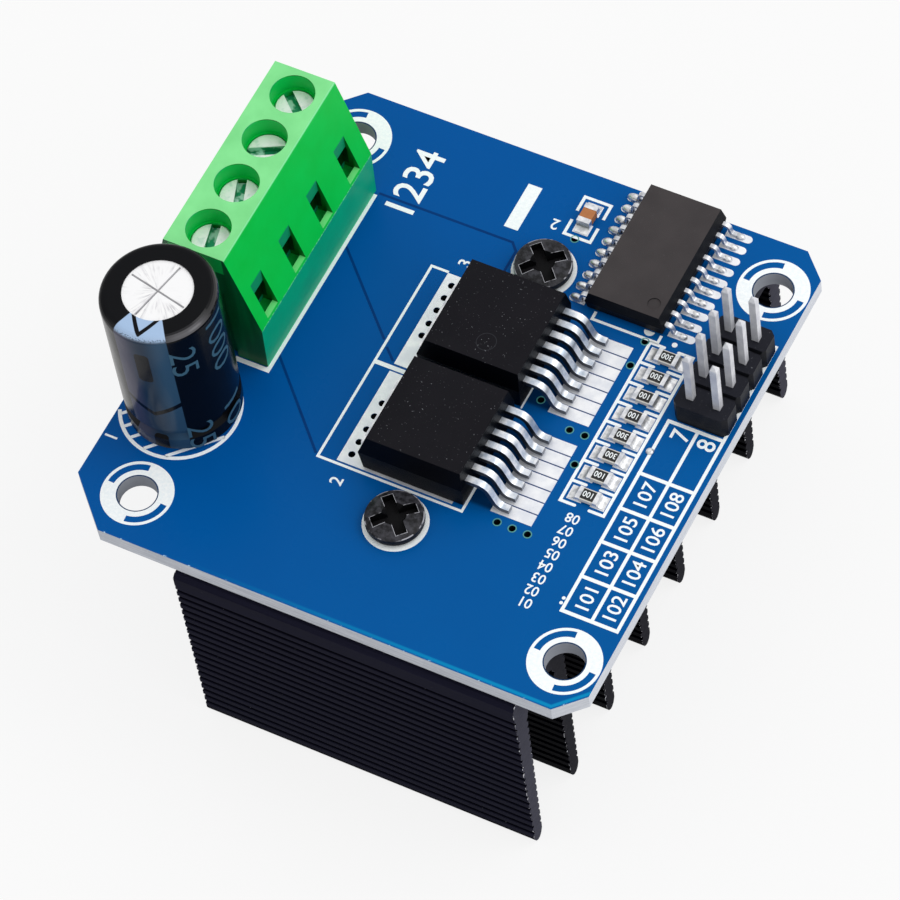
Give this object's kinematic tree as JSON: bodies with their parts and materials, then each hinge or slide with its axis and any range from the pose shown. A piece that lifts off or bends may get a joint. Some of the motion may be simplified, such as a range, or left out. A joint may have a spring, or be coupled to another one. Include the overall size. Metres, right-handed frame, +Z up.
{
  "type": "dc motor driver module",
  "caption": "Square circuit module that drives a DC motor, with two power chips over a finned heatsink, a wire terminal block, a capacitor and a pin header.",
  "frame": {"origin": "centre of the bounding box's bottom, on the plane of the fin tips", "axes": "+Z up from the fins to the components, +X from the terminal block to the pin header, +Y from the capacitor's end of the board to the logic chip's end"},
  "size_m": [0.05, 0.0512, 0.0426],
  "materials": {
    "board": "blue solder mask over glass fibre laminate, light grey cut edges",
    "black_anodised": "black anodised extrusion",
    "silicone_pad": "thin white silicone sheet",
    "black_steel": "black oxide steel",
    "green_plastic": "green moulded nylon",
    "tinned_metal": "bright tinned metal",
    "zinc_steel": "bright zinc plated steel",
    "plated_brass": "nickel plated brass",
    "can_aluminium": "bare aluminium",
    "black_sleeve": "black shrink sleeve with a grey stripe",
    "black_rubber": "black rubber",
    "black_moulding": "black epoxy moulding",
    "header_plastic": "black moulded plastic",
    "ceramic_white": "white ceramic",
    "resistor_black": "black overcoat",
    "ceramic_brown": "brown ceramic",
    "solder": "bright solder"
  },
  "bodies": {
    "module": {"circuit_board": "board", "heatsink": "black_anodised", "thermal_pad": "silicone_pad", "heatsink_screws": "black_steel", "terminal_housing": "green_plastic", "terminal_contacts": "tinned_metal", "capacitor_can": "can_aluminium", "capacitor_sleeve": "black_sleeve", "capacitor_bung": "black_rubber", "capacitor_leads": "tinned_metal", "driver_body_1": "black_moulding", "driver_body_2": "black_moulding", "driver_tab_1": "tinned_metal", "driver_tab_2": "tinned_metal", "driver_leads_1": "tinned_metal", "driver_leads_2": "tinned_metal", "logic_chip_body": "black_moulding", "logic_chip_leads": "tinned_metal", "header_housing": "header_plastic", "header_pins": "tinned_metal", "resistor_bodies": "ceramic_white", "resistor_ends": "tinned_metal", "resistor_coats": "resistor_black", "ceramic_capacitor_body": "ceramic_brown", "ceramic_capacitor_ends": "tinned_metal", "solder_fillets": "solder", "solder_joints": "solder"},
    "screw_1": {"terminal_screw_1": "zinc_steel"},
    "cage_1": {"wire_cage_1": "plated_brass"},
    "screw_2": {"terminal_screw_2": "zinc_steel"},
    "cage_2": {"wire_cage_2": "plated_brass"},
    "screw_3": {"terminal_screw_3": "zinc_steel"},
    "cage_3": {"wire_cage_3": "plated_brass"},
    "screw_4": {"terminal_screw_4": "zinc_steel"},
    "cage_4": {"wire_cage_4": "plated_brass"}
  },
  "joints": [
    {"name": "cage_rise_1", "type": "slide", "parent": "module", "child": "cage_1", "axis": [0, 0, 1], "range_m": [0, 0.0028]},
    {"name": "screw_turn_1", "type": "hinge", "parent": "module", "child": "screw_1", "pos_m": [-0.02005, -0.00195, 0.037], "axis": [0, 0, 1], "range_deg": [-2016, 0]},
    {"name": "cage_rise_2", "type": "slide", "parent": "module", "child": "cage_2", "axis": [0, 0, 1], "range_m": [0, 0.0028]},
    {"name": "screw_turn_2", "type": "hinge", "parent": "module", "child": "screw_2", "pos_m": [-0.02005, 0.00313, 0.037], "axis": [0, 0, 1], "range_deg": [-2016, 0]},
    {"name": "cage_rise_3", "type": "slide", "parent": "module", "child": "cage_3", "axis": [0, 0, 1], "range_m": [0, 0.0028]},
    {"name": "screw_turn_3", "type": "hinge", "parent": "module", "child": "screw_3", "pos_m": [-0.02005, 0.00821, 0.037], "axis": [0, 0, 1], "range_deg": [-2016, 0]},
    {"name": "cage_rise_4", "type": "slide", "parent": "module", "child": "cage_4", "axis": [0, 0, 1], "range_m": [0, 0.0028]},
    {"name": "screw_turn_4", "type": "hinge", "parent": "module", "child": "screw_4", "pos_m": [-0.02005, 0.01329, 0.037], "axis": [0, 0, 1], "range_deg": [-2016, 0]}
  ],
  "couplings": [
    {"joint": "screw_turn_1", "follows": "cage_rise_1", "rad_per_m": -12566},
    {"joint": "screw_turn_2", "follows": "cage_rise_2", "rad_per_m": -12566},
    {"joint": "screw_turn_3", "follows": "cage_rise_3", "rad_per_m": -12566},
    {"joint": "screw_turn_4", "follows": "cage_rise_4", "rad_per_m": -12566}
  ]
}
